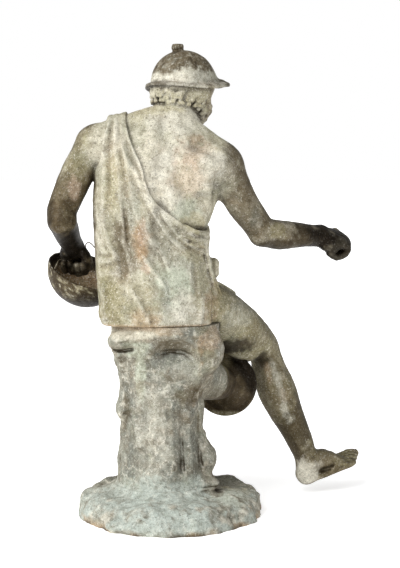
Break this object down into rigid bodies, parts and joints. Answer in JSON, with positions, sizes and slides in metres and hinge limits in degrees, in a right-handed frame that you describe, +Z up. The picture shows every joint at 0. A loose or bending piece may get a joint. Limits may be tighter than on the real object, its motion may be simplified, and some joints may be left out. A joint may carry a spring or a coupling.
{
  "type": "bronze fisherman statue",
  "caption": "Seated fisherman in a brimmed hat and draped tunic on a rock seat, one arm out and a bowl-shaped basket on a wire handle, in weathered bronze.",
  "frame": {"origin": "middle of the base's flat underside, on the floor", "axes": "+Z up, the figure faces -Y, its left side is +X"},
  "size_m": [0.7237, 0.5323, 1.0462],
  "materials": {
    "figure_bronze": "cast bronze with a grey-green and cream patina, dark brown on the forearms, hat top and shin",
    "rock_bronze": "cast bronze with a matt grey patina and pale lime streaks, orange-brown at the lower edge",
    "basket_bronze": "thin cast bronze, dark brown with pale deposits",
    "handle_bronze": "dark bronze wire"
  },
  "bodies": {
    "root": {"fisherman": "figure_bronze", "rock_seat": "rock_bronze", "fish_basket": "basket_bronze", "basket_handle": "handle_bronze"}
  },
  "joints": []
}
